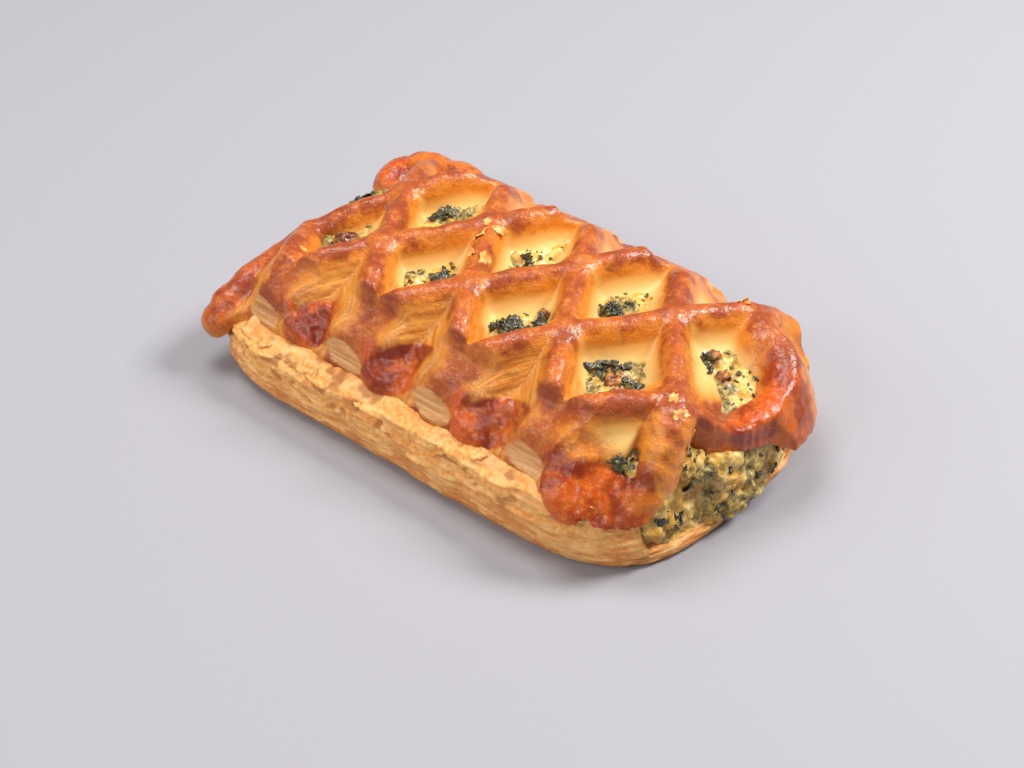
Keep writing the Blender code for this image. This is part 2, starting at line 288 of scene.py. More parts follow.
# %% [markdown]
# ## The outline
#
# The bottom sheet is a rectangle with rounded corners, fuller at the right end: a superellipse. The side
# wall is made from points at even steps along it, and the grid learns how far inside it each place is.

# %% Outline of the pastry
BASE_LEFT, BASE_RIGHT = -62.0, 57.5


def outline(turn):
    """Plan outline of the bottom sheet in millimetres, for an array of angles."""
    c, s = np.cos(turn), np.sin(turn)
    power = 2.0 / np.where((c > 0) & (s < 0), 5.5, 6.0)
    u = np.sign(c) * np.abs(c) ** power
    v = np.sign(s) * np.abs(s) ** power
    x = 0.5 * (BASE_LEFT + BASE_RIGHT) + 0.5 * (BASE_RIGHT - BASE_LEFT) * u
    x = x + np.where(u > 0, (5.2 * (1.0 - v * v) + 1.5 * v) * u**4, 0.0)
    y = 37.6 * v - np.where(v < 0, 1.2 * np.exp(-(((u + 0.65) / 0.35) ** 2)) * v**4, 0.0)
    return x, y


AROUND = 900
ox, oy = outline(np.linspace(0.0, 2.0 * math.pi, 20001))
run = np.concatenate([[0.0], np.cumsum(np.hypot(np.diff(ox), np.diff(oy)))])
along = np.linspace(0.0, run[-1], AROUND, endpoint=False)
ox, oy = np.interp(along, run, ox), np.interp(along, run, oy)
rim_gap, _, rim_side = to_line(np.column_stack([ox, oy]), PX, PY)
print("outline is", round(run[-1], 1), "mm round")
inside = np.where(rim_side > 0, rim_gap, -rim_gap)
seat_mm = seat(PX * MM, PY * MM) / MM
open_end = ramp(np.abs(PX), 46.0, 51.0) * ramp(np.abs(PY + np.where(PX > 0, 4.5, 0.0)), 26.0, 21.0)
outward = ramp(inside, 9.0, 3.0) * ramp(np.abs(PX), 44.0, 50.0)


# %% [markdown]
# ## Heights of the strips
#
# Each strip gives every place a height: its ridge less the drop of its section. The highest of them
# would leave hard creases at crossings. Adding up exponentials and taking the logarithm at the end gives
# nearly the highest, with soft joints.

# %% Heights of the strips
SOFT, NOWHERE = 0.4, -60.0
rise = np.zeros(len(PX))
gap_to_strip, depth_map = np.full(len(PX), 99.0), np.full(len(PX), 99.0)
along_strip, web_part = np.zeros(len(PX)), np.zeros(len(PX))
for number, (path, scale) in enumerate(strips):
    line = path[:, :2] / MM
    gap, index, side = to_line(line, PX, PY)
    ridge = crown(path[:, 0], path[:, 1]) / MM + path[:, 2] / MM
    place = np.column_stack([path[:, 0], path[:, 1], np.full(len(path), number * 0.03)])
    width = scale * (1.0 + 0.10 * noise(place, 8.0 * MM, 3))
    ridge = ridge + 0.5 * noise(place, 7.0 * MM, 9)
    spread = width[index]
    if number == len(strips) - 1:
        near_part = ramp(line[index, 1], 12.0, 2.0)
        spread = spread * np.where(side > 0, 0.8, 1.3 + 0.5 * near_part)
        loop_gap = np.where(side > 0, gap - 1.9 - 9.0 * ramp(line[index, 1], 4.0, 14.0), -9.0)
    drop = np.interp(gap / spread, *TOP_DROP)
    web = np.zeros(len(PX))
    if number < 3:
        web = ramp(line[index, 1], -9.0, -14.0) * (side < 0)
        drop = drop * (1 - web) + np.interp(gap, *WEB_DROP) * web
    height = ridge[index] - drop - web * 2.5 * np.maximum(-29.0 - PY, 0.0)
    height = height - outward * 2.0 * np.maximum(gap - 4.6 * spread, 0.0)
    rise += np.exp(np.clip(height, NOWHERE, -NOWHERE) / SOFT)
    nearer = drop < depth_map
    stores = (gap_to_strip, depth_map, along_strip, web_part)
    for store, value in zip(stores, (gap, drop, index + 40.0 * number, web)):
        store[nearer] = value[nearer]
print("places on a strip:", round(100.0 * np.mean(depth_map < 3.0)), "percent")

# %% [markdown]
# ## Small tools for shapes
#
# Balls at any slant stand for knobs and lobes of dough. A voxel remesh joins a pile of shapes into one
# closed skin of even points, which NumPy can move. Materials read numbers kept on the points, such as
# how pale each is.

# %% Tools for balls, points and skins
def ball_axes(long, normal):
    """Three unit axes: the long one, the one across it, and the one through the thickness."""
    long, normal = np.array(long, float), np.array(normal, float)
    long /= np.linalg.norm(long)
    normal -= long * (normal @ long)
    normal /= np.linalg.norm(normal)
    return np.array((long, np.cross(normal, long), normal))


def add_ball(bm, centre, size, long=(1, 0, 0), normal=(0, 0, 1)):
    """An ellipsoid in millimetres whose axes lie along long, across it and along normal."""
    made = bmesh.ops.create_uvsphere(bm, u_segments=32, v_segments=20, radius=1.0)
    axes = ball_axes(long, normal)
    for vertex in made["verts"]:
        place = np.array(centre) + (np.array(vertex.co) * size) @ axes
        vertex.co = place * MM


def in_ball(points, centre, size, long=(1, 0, 0), normal=(0, 0, 1)):
    """Where points lie in an ellipsoid, as parts of its half sizes along its three axes."""
    return (points / MM - centre) @ ball_axes(long, normal).T / size


def read_points(mesh):
    """The mesh's points and their normals, one row each."""
    co = np.empty(len(mesh.vertices) * 3)
    mesh.vertices.foreach_get("co", co)
    normals = np.empty(len(mesh.vertices) * 3, np.float32)
    mesh.vertex_normals.foreach_get("vector", normals)
    return co.reshape(-1, 3), normals.reshape(-1, 3).astype(float)


def write_points(mesh, points):
    mesh.vertices.foreach_set("co", np.asarray(points, np.float32).ravel())
    mesh.update()


def write_layers(mesh, **layers):
    """Stores a number for each point under each name, which a material reads by that name."""
    for name, values in layers.items():
        layer = mesh.attributes.new(name, "FLOAT", "POINT")
        layer.data.foreach_set("value", np.asarray(values, np.float32))


def to_mesh(name, bm):
    mesh = bpy.data.meshes.new(name)
    bm.to_mesh(mesh)
    bm.free()
    return mesh


def one_skin(name, bm, voxel, rounds):
    """Joins everything in bm into one closed skin and softens it."""
    mesh = to_mesh(name, bm)
    holder = add_object(name, mesh)
    skin = holder.modifiers.new("skin", "REMESH")
    skin.mode = "VOXEL"
    skin.voxel_size = voxel
    soften = holder.modifiers.new("soften", "SMOOTH")
    soften.factor = 0.5
    soften.iterations = rounds
    graph = bpy.context.evaluated_depsgraph_get()
    made = bpy.data.meshes.new_from_object(holder.evaluated_get(graph))
    bpy.data.objects.remove(holder)
    bpy.data.meshes.remove(mesh)
    made.name = name
    return made


def keep_faces(mesh, keep):
    """Drops the faces for which keep is False at all corners, such as hidden undersides."""
    bm = bmesh.new()
    bm.from_mesh(mesh)
    bm.verts.ensure_lookup_table()
    lost = [face for face in bm.faces if not any(keep[v.index] for v in face.verts)]
    bmesh.ops.delete(bm, geom=lost, context="FACES")
    bm.to_mesh(mesh)
    bm.free()


def finish_piece(name, mesh, material, node=None):
    """Moves the mesh onto the frame and lets it ride on the body, in place of a node or as a new piece."""
    points, _ = read_points(mesh)
    write_points(mesh, points + SHIFT)
    mesh.shade_smooth()
    mesh.materials.append(material)
    piece = add_object(name, mesh)
    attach(piece, "root")
    if node:
        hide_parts(node)
    print(name, len(mesh.vertices), "points,", sum(len(p.vertices) - 2 for p in mesh.polygons), "triangles")


# %% [markdown]
# ## Materials
#
# Baked dough has deep red-brown ridges, orange flanks and pale inner walls. Each point carries numbers
# for those, and the material mixes its colours by them, with fine noise on top. Egg wash is a thin clear
# coat.

# %% Material helpers
class Shade:
    """A small builder for a Principled material."""

    def __init__(self, name, roughness, subsurface=0.0, coat=0.0):
        self.material = bpy.data.materials.new(name)
        self.material.use_nodes = True
        self.tree = self.material.node_tree
        self.shader = self.tree.nodes["Principled BSDF"]
        preset(self.shader, Roughness=roughness, Coat_Weight=coat)
        preset(self.shader, Coat_Roughness=0.14, Specular_IOR_Level=0.32)
        if subsurface:
            preset(self.shader, Subsurface_Weight=subsurface, Subsurface_Scale=0.0016)
            preset(self.shader, Subsurface_Radius=(1.0, 0.45, 0.2))
        self.place = self.node("ShaderNodeTexCoord").outputs["Object"]

    def node(self, kind, **settings):
        made = self.tree.nodes.new(kind)
        for key, value in settings.items():
            setattr(made, key, value)
        return made

    def put(self, target, value):
        if isinstance(value, bpy.types.NodeSocket):
            self.tree.links.new(value, target)
        elif isinstance(value, tuple) and len(value) == 3 and target.type == "RGBA":
            target.default_value = (*value, 1.0)
        else:
            target.default_value = value

    def layer(self, name):
        return self.node("ShaderNodeAttribute", attribute_name=name).outputs["Fac"]

    def noise(self, size_mm, detail=4.0, rough=0.55, stretch=None):
        """Noise whose main bumps are about size_mm across, as a number from 0 to 1."""
        place = self.place
        if stretch:
            mapping = self.node("ShaderNodeMapping")
            self.put(mapping.inputs["Vector"], place)
            preset(mapping, Scale=stretch)
            place = mapping.outputs["Vector"]
        made = self.node("ShaderNodeTexNoise")
        self.put(made.inputs["Vector"], place)
        preset(made, Scale=1000.0 / size_mm, Detail=detail, Roughness=rough, Lacunarity=2.1)
        return made.outputs["Fac"]

    def span(self, value, low, high, to_low=0.0, to_high=1.0):
        made = self.node("ShaderNodeMapRange", interpolation_type="SMOOTHSTEP")
        for index, number in enumerate((value, low, high, to_low, to_high)):
            self.put(made.inputs[index], number)
        return made.outputs["Result"]

    def maths(self, how, a, b=0.0):
        made = self.node("ShaderNodeMath", operation=how)
        self.put(made.inputs[0], a)
        self.put(made.inputs[1], b)
        return made.outputs[0]

    def plus(self, a, b):
        return self.maths("ADD", a, b)

    def minus(self, a, b):
        return self.maths("SUBTRACT", a, b)

    def times(self, a, b):
        return self.maths("MULTIPLY", a, b)

    def mix(self, factor, a, b):
        made = self.node("ShaderNodeMix", data_type="RGBA")
        self.put(made.inputs["Factor"], factor)
        self.put(made.inputs[6], a)
        self.put(made.inputs[7], b)
        return made.outputs[2]

    def finish(self, colour, bump, depth_mm, roughness=None):
        self.put(self.shader.inputs["Base Color"], colour)
        if roughness is not None:
            self.put(self.shader.inputs["Roughness"], roughness)
        made = self.node("ShaderNodeBump")
        preset(made, Strength=1.0, Distance=depth_mm * MM)
        self.put(made.inputs["Height"], bump)
        self.put(self.shader.inputs["Normal"], made.outputs["Normal"])
        return self.material


# %% [markdown]
# ## Browned crust
#
# Each colour is laid over the one before: orange to brown by the height of the ridge, strands along the
# sloped webs, deep red-brown on the lobes, cream on the inner walls, fine layers at cuts, and thin
# creases. The egg wash has broad bumps of its own, so that its glints break up.

# %% Browned crust of the lattice
def strands_of(s):
    """Noise drawn out along a strip, by the point's place along it and its distance below the ridge."""
    place = s.node("ShaderNodeCombineXYZ")
    s.put(place.inputs[0], s.times(s.layer("along"), 0.09))
    s.put(place.inputs[1], s.times(s.layer("depth"), 0.85))
    strands = s.node("ShaderNodeTexNoise")
    s.put(strands.inputs["Vector"], place.outputs[0])
    preset(strands, Scale=1.4, Detail=4.0)
    return s.span(strands.outputs["Fac"], 0.30, 0.70)


def crust_material():
    s = Shade("lattice_crust", 0.32, coat=0.5)
    blotch = s.noise(7.0, 3.0)
    fine = s.noise(1.3, 5.0, 0.6)
    speck = s.noise(0.45, 3.0, 0.6)
    height, pale, dark, cut = (s.layer(name) for name in ("height", "pale", "dark", "cut"))
    uneven = s.times(s.minus(blotch, 0.5), 0.9)
    ridge = s.span(s.plus(height, uneven), 0.6, 0.98)
    colour = s.mix(ridge, (0.74, 0.225, 0.016), (0.43, 0.074, 0.006))
    colour = s.mix(s.times(s.span(fine, 0.48, 0.70), 0.7), colour, (0.68, 0.22, 0.03))
    colour = s.mix(s.times(s.span(blotch, 0.48, 0.60), 0.6), colour, (0.26, 0.038, 0.006))
    colour = s.mix(s.times(s.span(speck, 0.6, 0.72), 0.3), colour, (0.25, 0.05, 0.01))
    webbed = s.mix(strands_of(s), (0.56, 0.15, 0.014), (0.86, 0.40, 0.07))
    colour = s.mix(s.times(s.layer("web"), 0.85), colour, webbed)
    baked = s.mix(s.span(blotch, 0.40, 0.60), (0.55, 0.066, 0.002), (0.25, 0.018, 0.001))
    colour = s.mix(s.times(dark, s.span(fine, 0.2, 0.75, 1.0, 0.7)), colour, baked)
    creamy = s.mix(s.span(height, 0.05, 0.62), (0.80, 0.52, 0.17), (0.74, 0.29, 0.04))
    colour = s.mix(pale, colour, creamy)
    band = s.noise(2.6, 4.0, 0.7, stretch=(0.22, 0.22, 4.5))
    layers = s.mix(s.span(band, 0.38, 0.62), (0.57, 0.24, 0.075), (0.74, 0.38, 0.14))
    colour = s.mix(cut, colour, layers)
    crease = s.minus(s.noise(2.4, 3.0, 0.6, stretch=(1.0, 1.0, 1.3)), 0.5)
    crease = s.span(s.maths("ABSOLUTE", crease), 0.0, 0.030)
    browned = s.times(s.span(height, 0.35, 0.7), s.minus(1.0, s.maths("MAXIMUM", pale, cut)))
    creased = s.times(s.minus(1.0, crease), s.times(browned, 0.35))
    line_tone = s.mix(s.span(blotch, 0.45, 0.55), (0.80, 0.34, 0.06), (0.20, 0.030, 0.005))
    colour = s.mix(creased, colour, line_tone)
    wrinkle = s.plus(s.times(fine, 0.7), s.times(speck, 0.45))
    wrinkle = s.plus(wrinkle, s.times(s.times(crease, browned), 0.10))
    wrinkle = s.times(wrinkle, s.minus(1.0, s.times(pale, 0.75)))
    wrinkle = s.times(wrinkle, s.minus(1.0, s.times(dark, 0.6)))
    dry = s.maths("MAXIMUM", cut, s.times(pale, 0.4))
    rough = s.plus(s.span(fine, 0.3, 0.7, 0.26, 0.46), s.times(dry, 0.25))
    rough = s.minus(rough, s.times(dark, 0.16))
    preset(s.shader, Coat_Roughness=0.20, Specular_IOR_Level=0.22)
    glaze = s.node("ShaderNodeBump")
    preset(glaze, Distance=0.5 * MM)
    s.put(glaze.inputs["Height"], s.noise(2.2, 3.0, 0.5))
    s.put(s.shader.inputs["Coat Normal"], glaze.outputs["Normal"])
    return s.finish(colour, wrinkle, 0.38, rough)


# %% [markdown]
# ## The side's dry crust
#
# The side had no egg wash, so it is golden and matt, with fine lines where its leaves part. Noise squeezed
# in height gives the lines. Pits are darkened as painted shade, and the wall is also darker and browner
# towards its foot.

# %% Layered crust of the side
def side_material():
    s = Shade("side_crust", 0.55, subsurface=0.12)
    band = s.noise(3.2, 5.0, 0.7, stretch=(0.5, 0.5, 2.6))
    fine = s.noise(1.0, 5.0, 0.65)
    blotch = s.noise(6.0, 3.0)
    low, hollow = s.layer("low"), s.layer("hollow")
    colour = s.mix(s.span(fine, 0.38, 0.66), (0.84, 0.31, 0.055), (1.0, 0.56, 0.17))
    colour = s.mix(s.times(s.span(band, 0.42, 0.62), 0.6), colour, (1.0, 0.62, 0.26))
    lined = s.mix(s.span(band, 0.40, 0.60), (0.70, 0.25, 0.06), (1.0, 0.55, 0.20))
    colour = s.mix(low, colour, lined)
    colour = s.mix(s.times(s.span(blotch, 0.5, 0.7), 0.6), colour, (0.62, 0.19, 0.035))
    # painted shade: the pits turn dark brown, and the wall also darkens towards its foot
    colour = s.mix(s.times(hollow, 0.7), colour, (0.40, 0.12, 0.025))
    relief = s.plus(s.times(band, 0.6), s.times(fine, 0.5))
    return s.finish(colour, relief, 0.5, s.span(fine, 0.3, 0.7, 0.42, 0.62))


# %% [markdown]
# ## Finishes of the filling
#
# Set egg and cheese run from cream to ochre, with olive where spinach lies under the skin. Wet leaves are
# nearly black and shine, toasted cheese is brown, and torn flakes are dry and golden.

# %% Filling, spinach, toasted cheese and flakes
def filling_material():
    s = Shade("filling", 0.36, subsurface=0.15, coat=0.3)
    lump = s.noise(3.2, 4.0, 0.6)
    fine = s.noise(0.9, 4.0, 0.6)
    green, toast = s.layer("green"), s.layer("toast")
    colour = s.mix(s.span(lump, 0.42, 0.60), (0.78, 0.42, 0.05), (0.96, 0.66, 0.22))
    colour = s.mix(s.times(s.span(fine, 0.52, 0.68), 0.6), colour, (0.52, 0.26, 0.035))
    stain = s.noise(1.9, 3.0, 0.6, stretch=(1.0, 1.0, 1.4))
    colour = s.mix(s.times(s.span(stain, 0.50, 0.64), 0.55), colour, (0.34, 0.19, 0.035))
    colour = s.mix(s.times(green, s.span(fine, 0.35, 0.6, 0.35, 1.0)), colour, (0.15, 0.13, 0.036))
    colour = s.mix(toast, colour, (0.20, 0.045, 0.018))
    relief = s.plus(fine, s.times(lump, 0.6))
    return s.finish(colour, relief, 0.4, s.span(fine, 0.3, 0.7, 0.25, 0.5))


def spinach_material():
    s = Shade("spinach", 0.26, coat=0.7)
    fine = s.noise(0.8, 4.0, 0.6)
    tone = s.noise(2.6, 2.0)
    colour = s.mix(s.span(tone, 0.4, 0.65), (0.030, 0.027, 0.013), (0.105, 0.090, 0.030))
    colour = s.mix(s.times(s.span(fine, 0.55, 0.7), 0.5), colour, (0.16, 0.17, 0.07))
    return s.finish(colour, fine, 0.25)


def toasted_material():
    s = Shade("toasted", 0.32, coat=0.4)
    tone = s.noise(1.8, 3.0, 0.6)
    colour = s.mix(s.span(tone, 0.40, 0.62), (0.09, 0.018, 0.008), (0.46, 0.17, 0.035))
    return s.finish(colour, s.noise(0.8, 3.0), 0.2)


def flake_material():
    s = Shade("flake", 0.5)
    tone = s.noise(2.4, 4.0, 0.6)
    colour = s.mix(s.span(tone, 0.38, 0.64), (0.72, 0.28, 0.05), (0.90, 0.52, 0.17))
    return s.finish(colour, s.noise(0.6, 3.0), 0.12)


# %% [markdown]
# ## The lattice: edges and crossings
#
# Where two strips cross the dough swells, and along both long sides it ends in a wavy edge with rounded
# lobes. Both are upper halves of ellipsoids, added to the same blended height. A low ledge closes the edge
# down onto the side wall.

# %% Edges and crossings
def dome(centre, size, turn=0.0):
    """Height of an ellipsoid's upper half over the grid, far below where there is none."""
    c, s = math.cos(turn), math.sin(turn)
    dx, dy = PX - centre[0], PY - centre[1]
    u, v = (dx * c + dy * s) / size[0], (dy * c - dx * s) / size[1]
    left = 1.0 - u * u - v * v
    return np.where(left > 0, centre[2] + size[2] * np.sqrt(np.maximum(left, 0)), NOWHERE)


wobble = noise(np.column_stack([PX, 0 * PX, 0 * PX]), 5.0, 15)
edge_near = 33.8 + 3.4 * ramp(PX, 33.0, 40.0) + 4.0 * ramp(PX, -49.0, -56.0)
edge_at = np.where(PY < 0, edge_near, 38.6) + 0.6 * wobble
FAR_LOBES = ((-1, 7.6, 0.32), (0, 9.2, 0.30), (1, 8.2, 0.22))
CORNERS = (
    ((47.0, -30.4, 7.6), (13.5, 7.2, 9.4), 0.16),
    ((-52.0, -17.0, 13.0), (8.0, 13.0, 8.5), 0.0),
    ((-57.0, -22.0, 10.0), (6.0, 15.0, 10.5), 0.0),
    ((45.0, 31.5, 13.0), (12.0, 8.0, 8.0), 0.0),
)
domes = []
for k, length, turn in FAR_LOBES:
    domes.append(((crossing(3, k)[0] / MM + 11.0, 33.4, 14.8), (length + 1.0, 6.4, 8.0), -turn))
domes += CORNERS
for row in range(4):
    for k in range(-1, 3) if row == 0 else range(4):
        kx, ky, _ = crossing(row, k)
        swell = (kx / MM, ky / MM, float(crown(kx, ky)) / MM - 3.2)
        rise += np.exp(dome(swell, (5.0, 5.4, 3.4)) / SOFT)
strip_height = SOFT * np.log(np.maximum(rise, 1e-60))
lobe_height = np.max([dome(*place) for place in domes], axis=0)
lobe_part = ramp(lobe_height - strip_height, -0.6, 0.4)
for place in domes:
    rise += np.exp(dome(*place) / SOFT)
ledge = np.where(PY < 0, 14.3, 16.4) + 0.33 * np.minimum(38.0 - np.abs(PY), 9.0)
ledge = ledge - (14.0 - np.minimum(seat_mm, 14.0))
ledge = np.where((np.abs(PY) > 27.0) & (np.abs(PY) < edge_at) & (inside > -0.8), ledge, NOWHERE)
rise += np.exp(ledge / SOFT)
height_mm = SOFT * np.log(np.maximum(rise, 1e-60))
print("domes:", len(domes), "and the highest ridge", round(height_mm.max(), 1), "mm")

# %% [markdown]
# ## The lattice: cut feet and underside
#
# Between two lobes a blade cut the sheet, so the dough ends in a steep face. A sloped limit on the
# height gives it, and a round one shapes the rest of the edge. The underside follows the filling, and
# dough that isn't clear of it is left out, as an opening.

# %% Cut feet and underside
foot = np.zeros(len(PX))
for k in range(-1, 4):
    for row, shift, half in ((0, -3.4, 6.5), (3, 0.0, 6.0)):
        fx, fy, _ = crossing(row, k) / MM
        if fx + shift < 48.0:
            here = ramp(np.abs(PX - fx - shift), half + 0.8, half - 0.4)
            foot = np.maximum(foot, here * (np.sign(fy) == np.sign(PY)))
cut_edge = np.where(PY < 0, 32.0, edge_at)
cut_limit = np.where(PY < 0, 17.4, 15.6) + np.where(PY < 0, 3.3, 2.4) * (cut_edge - np.abs(PY))
cut_limit += 0.4 * noise(np.column_stack([PX, PY, 0 * PX]), 4.0, 14)
cut_limit = np.maximum(cut_limit, ledge)
round_limit = np.where(PY < 0, 14.4, 15.0) + 4.2 * np.sqrt(np.maximum(edge_at + 0.6 - np.abs(PY), 0.0))
limit = np.where(np.abs(PY) > 24.0, np.minimum(cut_limit * foot + 60.0 * (1 - foot), round_limit), 60.0)
height_mm = np.minimum(height_mm, limit)
under = seat_mm - 1.2 - 7.0 * (1.0 - open_end) * ramp(inside, 0.0, 4.0)
on_loop = (gap_to_strip < 7.0) & (PX > 50.0) & (PY > -12.0) & (PY < 34.0)
keep = ((inside > -1.3) & (np.abs(PY) < edge_at + 0.3)) | on_loop
keep &= (loop_gap < 0.0) | (PX < 50.0)
solid = (height_mm > under + 0.4) & keep
print("cells with dough:", solid.sum(), "of", len(solid))

# %% [markdown]
# ## The lattice: from a map to a block
#
# The map becomes a closed block: a top and a bottom face for each cell with dough at all four corners, and
# a wall wherever the next cell is bare.

# %% A closed block
rows, cols = len(GX), len(GY)
corners = cell_corners(np.arange(rows * cols).reshape(rows, cols))
filled = np.all(cell_corners(solid.reshape(rows, cols)), axis=0)
top_faces = np.column_stack([corner[filled] for corner in corners])
total = rows * cols
block = [*top_faces.tolist(), *(top_faces[:, ::-1] + total).tolist()]
padded = np.pad(filled, 1)
for shift, (p, q) in (((0, 1), (0, 3)), ((2, 1), (2, 1)), ((1, 0), (1, 0)), ((1, 2), (3, 2))):
    bare = filled & ~padded[shift[0] : shift[0] + rows - 1, shift[1] : shift[1] + cols - 1]
    a, b = corners[p][bare], corners[q][bare]
    block += np.column_stack([a, b, b + total, a + total]).tolist()
verts = np.vstack([np.column_stack([PX, PY, height_mm]), np.column_stack([PX, PY, under])]) * MM
mesh = bpy.data.meshes.new("block")
mesh.from_pydata(verts.tolist(), [], block)
pile = bmesh.new()
pile.from_mesh(mesh)
bpy.data.meshes.remove(mesh)
bmesh.ops.delete(pile, geom=[v for v in pile.verts if not v.link_faces], context="VERTS")
bmesh.ops.recalc_face_normals(pile, faces=pile.faces)
print("block:", len(pile.faces), "faces")

# %% [markdown]
# ## The lattice: browned lobes and one skin
#
# Four flat lobes hang over the near side. The knobs are the corners and the band that runs down at the
# right end. They join the pile as slanted balls, and the remesh makes one skin of everything.

# %% Lobes, knobs and the skin
OUTER = (0.29, -0.69, 0.65)
PADS = (
    ((-31.6, -29.0, 18.8), (8.2, 4.8, 2.5), (8.6, 7.0, 4.4), OUTER),
    ((-6.0, -28.2, 18.8), (9.8, 5.0, 2.6), (9.4, 7.4, 4.6), OUTER),
    ((19.8, -29.2, 18.8), (9.8, 5.0, 2.6), (10.8, 6.6, 4.6), OUTER),
    ((48.6, -30.9, 15.6), (12.4, 7.4, 3.4), (0.9, 0.43, -0.16), (0.45, -0.6, 0.66)),
)
KNOBS = (
    ((-57.3, -34.8, 10.8), (5.0, 4.6, 4.4), (0.8, 0.6, 0)),
    ((-57.4, -30.5, 13.0), (5.0, 6.5, 5.0)),
    ((-60.2, 28.0, 15.0), (5.6, 8.6, 6.2), (1, 0.2, 0), (-0.2, 0, 1)),
    ((-53.0, 32.6, 16.6), (9.5, 6.6, 6.8)),
    ((-44.5, 33.0, 18.6), (9.0, 6.0, 5.6)),
    ((60.0, 20.0, 13.0), (5.0, 9.0, 5.0), (1, 0.2, 0)),
    ((52.6, -13.6, 28.6), (5.4, 4.6, 3.6)),
    ((53.6, -16.2, 26.6), (5.0, 4.6, 4.6)),
    ((54.6, -18.8, 23.6), (4.6, 4.8, 5.4)),
    ((55.2, -21.2, 19.6), (4.4, 5.2, 6.4)),
    ((55.2, -23.6, 15.6), (4.4, 5.6, 6.4)),
    ((53.8, -26.2, 10.6), (5.4, 6.0, 7.0)),
)
for ball in (*PADS, *KNOBS):
    add_ball(pile, *ball)
lattice = one_skin("lattice_crust", pile, 0.52 * MM, 4)
print("lattice skin:", len(lattice.vertices), "points")

# %% [markdown]
# ## The lattice: what each point is
#
# Every point learns how far it is below its ridge, and how much it belongs to a lobe, a pulled web or a
# pale inner wall. The finish and the relief below read the same numbers, so colour and form agree.

# %% What each point of the lattice is
def near_balls(balls, far, close):
    """1 at points in any of the balls, fading out from a close to a far size of them."""
    part = np.zeros(len(points))
    for ball in balls:
        part = np.maximum(part, ramp(np.linalg.norm(in_ball(points, *ball), axis=1), far, close))
    return part


points, normals = read_points(lattice)
xm, ym, zm = points.T / MM
depth = on_grid(depth_map, xm, ym)
web = on_grid(web_part, xm, ym)
along_line = on_grid(along_strip, xm, ym)
lobe = np.maximum(on_grid(lobe_part, xm, ym), near_balls(KNOBS[:6], 1.25, 1.1))
corner_band = near_balls(KNOBS[6:], 1.35, 1.15)
dish, glow, pad_part = np.zeros(len(points)), np.zeros(len(points)), np.zeros(len(points))
for ball in PADS:
    u, v, w = in_ball(points, *ball).T
    off = np.sqrt(u * u + v * v)
    there = ramp(off, 1.12, 0.95) * ramp(np.abs(w), 2.2, 1.5)
    streak = noise(np.column_stack([u * 9.0, v * 1.6, 0 * u]), 1.0, 55)
    dish += there * (-1.2 * ramp(off, 0.95, 0.2) + 0.3 * streak)
    glow = np.maximum(glow, there * (1.0 - 0.75 * ramp(u - 0.25 * v, 0.0, 0.9)))
    pad_part = np.maximum(pad_part, there)
lobe = np.maximum(lobe, pad_part)
height = np.maximum(1.0 - np.clip(depth / 8.0, 0.0, 1.0), 0.85 * lobe)
inner = ramp(np.abs(ym), 28.0, 22.0) * ramp(np.abs(xm - 2.0), 60.0, 52.0)
pale = inner * ramp(depth, 2.6, 4.8) * (1.0 - 0.7 * web) * (1.0 - lobe) * ramp(xm, -50.0, -46.0)
pale *= np.maximum(ramp(ym, -18.0, -14.0), ramp(xm, 34.0, 38.0)) * (1.0 - corner_band)
height = np.maximum(height, 0.75 * corner_band)
near_web = ramp(ym, -14.0, -18.0) * ramp(depth, 2.6, 4.8) * ramp(xm, 38.0, 34.0)
web = np.maximum(web, np.maximum(0.3 * corner_band, near_web))
print("points on a pale wall:", round(100.0 * np.mean(pale > 0.5)), "percent")

# %% [markdown]
# ## The lattice: cut layers
#
# A blade leaves the fine layers of puff pastry open to see. Each cut is a lens-shaped patch on the steep
# face between two lobes, with thin level lines in its relief.

# %% Cut layers
cut = np.zeros(len(points))
for k in range(-1, 4):
    for row, middle, half_height, sign in ((0, 17.6, 2.6, -1.0), (3, 21.0, 4.0, 1.0)):
        cx, cy, _ = crossing(row, k) / MM
        cx -= 3.2 if row == 0 else 0.0
        if cx < 46.0 and (row == 0 or cx > -48.0):
            slope = 0.18 * (xm - cx) if row == 0 else 0.0
            far = np.hypot((xm - cx) / 5.8, (zm - middle + slope) / half_height)
            cut = np.maximum(cut, ramp(far, 1.06, 0.92) * (sign * ym > 28.5))
cut *= (1.0 - pad_part)
moved = points.copy()
layer_relief = noise(points, (5.0 * MM, 5.0 * MM, 0.55 * MM), 8)
moved[:, 1] += cut * 0.28 * MM * layer_relief
print("points on a cut:", int((cut > 0.5).sum()))

# %% [markdown]
# ## The lattice: blisters and browning
#
# Steam lifts small blisters and the pull leaves fibres on the webs, so points move along their normals by
# noise. Lobes and turned-up corners brown most, and get a number for that.

# %% Blisters and browning
blister = fractal(points, 4.2 * MM, 4, 21)
crackle = fractal(points, 1.6 * MM, 3, 33)
fibres = noise(np.column_stack([along_line, depth, 0 * depth]), (9.0, 0.8, 1.0), 41)
push = 0.34 * blister + 0.16 * crackle + 0.3 * fibres * 0.7 * web * ramp(depth, 2.0, 4.0) * (1.0 - lobe)
push = push * (1.0 - 0.75 * pale) * (1.0 - cut) + dish
moved += normals * (push * MM)[:, None]
dark = np.maximum(0.45 * (lobe - pad_part) * ramp(zm, 11.0, 14.0), 0.95 * glow)
loop_part = ramp(xm, 53.0, 57.0) * ramp(ym, -8.0, -4.0) * (1.0 - ramp(ym, 15.0, 21.0))
dark = np.maximum(dark, 0.85 * loop_part)
DARKS = [((crossing(0, k)[0] / MM + 3.6, -31.0, 21.0), 4.0) for k in (-1, 0, 1, 2)]
DARKS += [((66.0, 15.0, 13.0), 5.0), ((-60.0, 26.0, 20.0), 7.0)]
DARKS += [((-58.5, -36.0, 10.0), 4.5), ((62.5, 4.0, 24.0), 4.0)]
